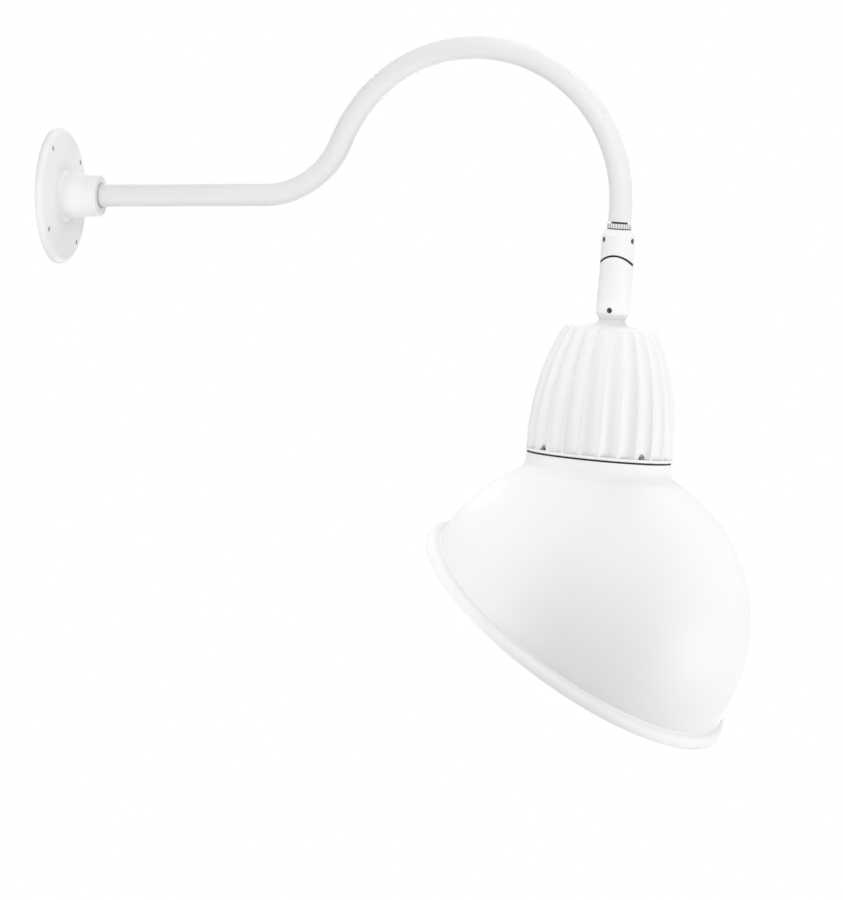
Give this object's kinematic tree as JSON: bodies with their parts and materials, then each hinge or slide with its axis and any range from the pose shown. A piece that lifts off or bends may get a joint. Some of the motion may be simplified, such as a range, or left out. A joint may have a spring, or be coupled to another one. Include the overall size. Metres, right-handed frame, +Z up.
{
  "type": "gooseneck wall sconce",
  "caption": "Gooseneck wall sconce: a round wall plate carries an arched tube arm with a swivel and tilt knuckle, a finned head and an angled dome shade.",
  "frame": {"origin": "centre of the wall plate's back face, on the wall, at the middle of its circle of four holes", "axes": "+X out of the wall along the straight part of the arm, +Z up, the arm in the XZ plane"},
  "size_m": [0.776, 0.3786, 0.7576],
  "materials": {
    "white_paint": "smooth satin powder coat",
    "steel_screw": "blackened steel",
    "zinc_steel": "zinc plated",
    "black_rubber": "matte moulded rubber",
    "raw_aluminium": "machined",
    "bright_reflector": "specular anodised",
    "clear_glass": "clear tempered",
    "white_plastic": "moulded",
    "phosphor": "silicone with phosphor",
    "board": "white solder mask",
    "driver_case": "moulded",
    "green_screw": "green dyed zinc"
  },
  "bodies": {
    "wall_side": {"wall_plate": "white_paint", "wall_gasket": "black_rubber", "ground_screw": "green_screw", "arm_seal": "white_plastic", "arm_locknut": "zinc_steel", "arm_tube": "white_paint", "swivel_stem": "steel_screw", "lock_ring": "white_paint", "swivel_seal": "black_rubber"},
    "swivel": {"knuckle_upper": "white_paint", "swivel_set_screws": "steel_screw", "knuckle_seal": "black_rubber", "knuckle_nipple": "zinc_steel", "knuckle_washer": "zinc_steel", "knuckle_nut": "zinc_steel"},
    "head": {"knuckle_lower": "white_paint", "neck_set_screw": "steel_screw", "neck_nipple": "zinc_steel", "housing": "white_paint", "housing_screws": "steel_screw", "seam_gasket": "black_rubber", "heat_spreader": "raw_aluminium", "spreader_screws": "zinc_steel", "led_board": "board", "led_emitter": "phosphor", "led_holder": "white_plastic", "holder_screws": "zinc_steel", "reflector": "bright_reflector", "driver": "driver_case", "driver_bracket": "raw_aluminium", "bracket_screws": "zinc_steel", "driver_screws": "zinc_steel", "lens": "clear_glass", "lens_gasket": "black_rubber", "shade_collar": "white_paint", "shade": "white_paint"}
  },
  "joints": [
    {"name": "swivel", "type": "hinge", "parent": "wall_side", "child": "swivel", "pos_m": [0.63103, 0, -0.08954], "axis": [0.0698, 0, 0.9976], "range_deg": [-175, 175]},
    {"name": "tilt", "type": "hinge", "parent": "swivel", "child": "head", "pos_m": [0.63103, 0, -0.08954], "axis": [-0.1043, 0.9945, 0.0073], "range_deg": [-31.4, 28.6]}
  ]
}
